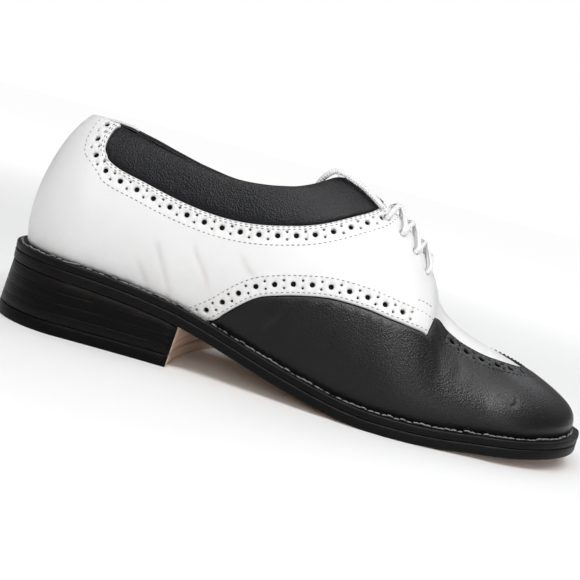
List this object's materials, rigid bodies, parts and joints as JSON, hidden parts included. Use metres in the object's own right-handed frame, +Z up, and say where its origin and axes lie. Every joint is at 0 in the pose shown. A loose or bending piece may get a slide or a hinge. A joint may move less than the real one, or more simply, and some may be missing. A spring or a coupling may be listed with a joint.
{
  "type": "spectator shoe",
  "caption": "Black and white wing-tip derby spectator shoe for the right foot, with leather sole, stacked heel and round white laces",
  "frame": {"origin": "Middle of the footprint on the floor, under the shoe", "axes": "+X from heel to toe, +Y to the inner side of the foot, +Z up"},
  "size_m": [0.3034, 0.104, 0.112],
  "materials": {
    "white_leather": "smooth calf, soft sheen",
    "black_leather": "smooth calf, polished",
    "black_grain_leather": "fine pebble grain",
    "sole_leather": "black edge dressing, scuffed",
    "heel_leather": "stacked layers, black edge dressing, bare breast",
    "tan_leather": "bare, matte",
    "white_lace": "round waxed cotton"
  },
  "bodies": {
    "root": {"top_lift": "sole_leather", "heel_stack": "heel_leather", "outsole": "sole_leather", "welt": "sole_leather", "insole": "tan_leather", "upper": "white_leather", "wing_tip": "black_leather", "quarter_lateral": "white_leather", "quarter_medial": "white_leather", "collar_lateral": "black_grain_leather", "collar_medial": "black_grain_leather", "tongue": "white_leather", "lace_crossings": "white_lace", "lace_end": "white_lace"}
  },
  "joints": []
}
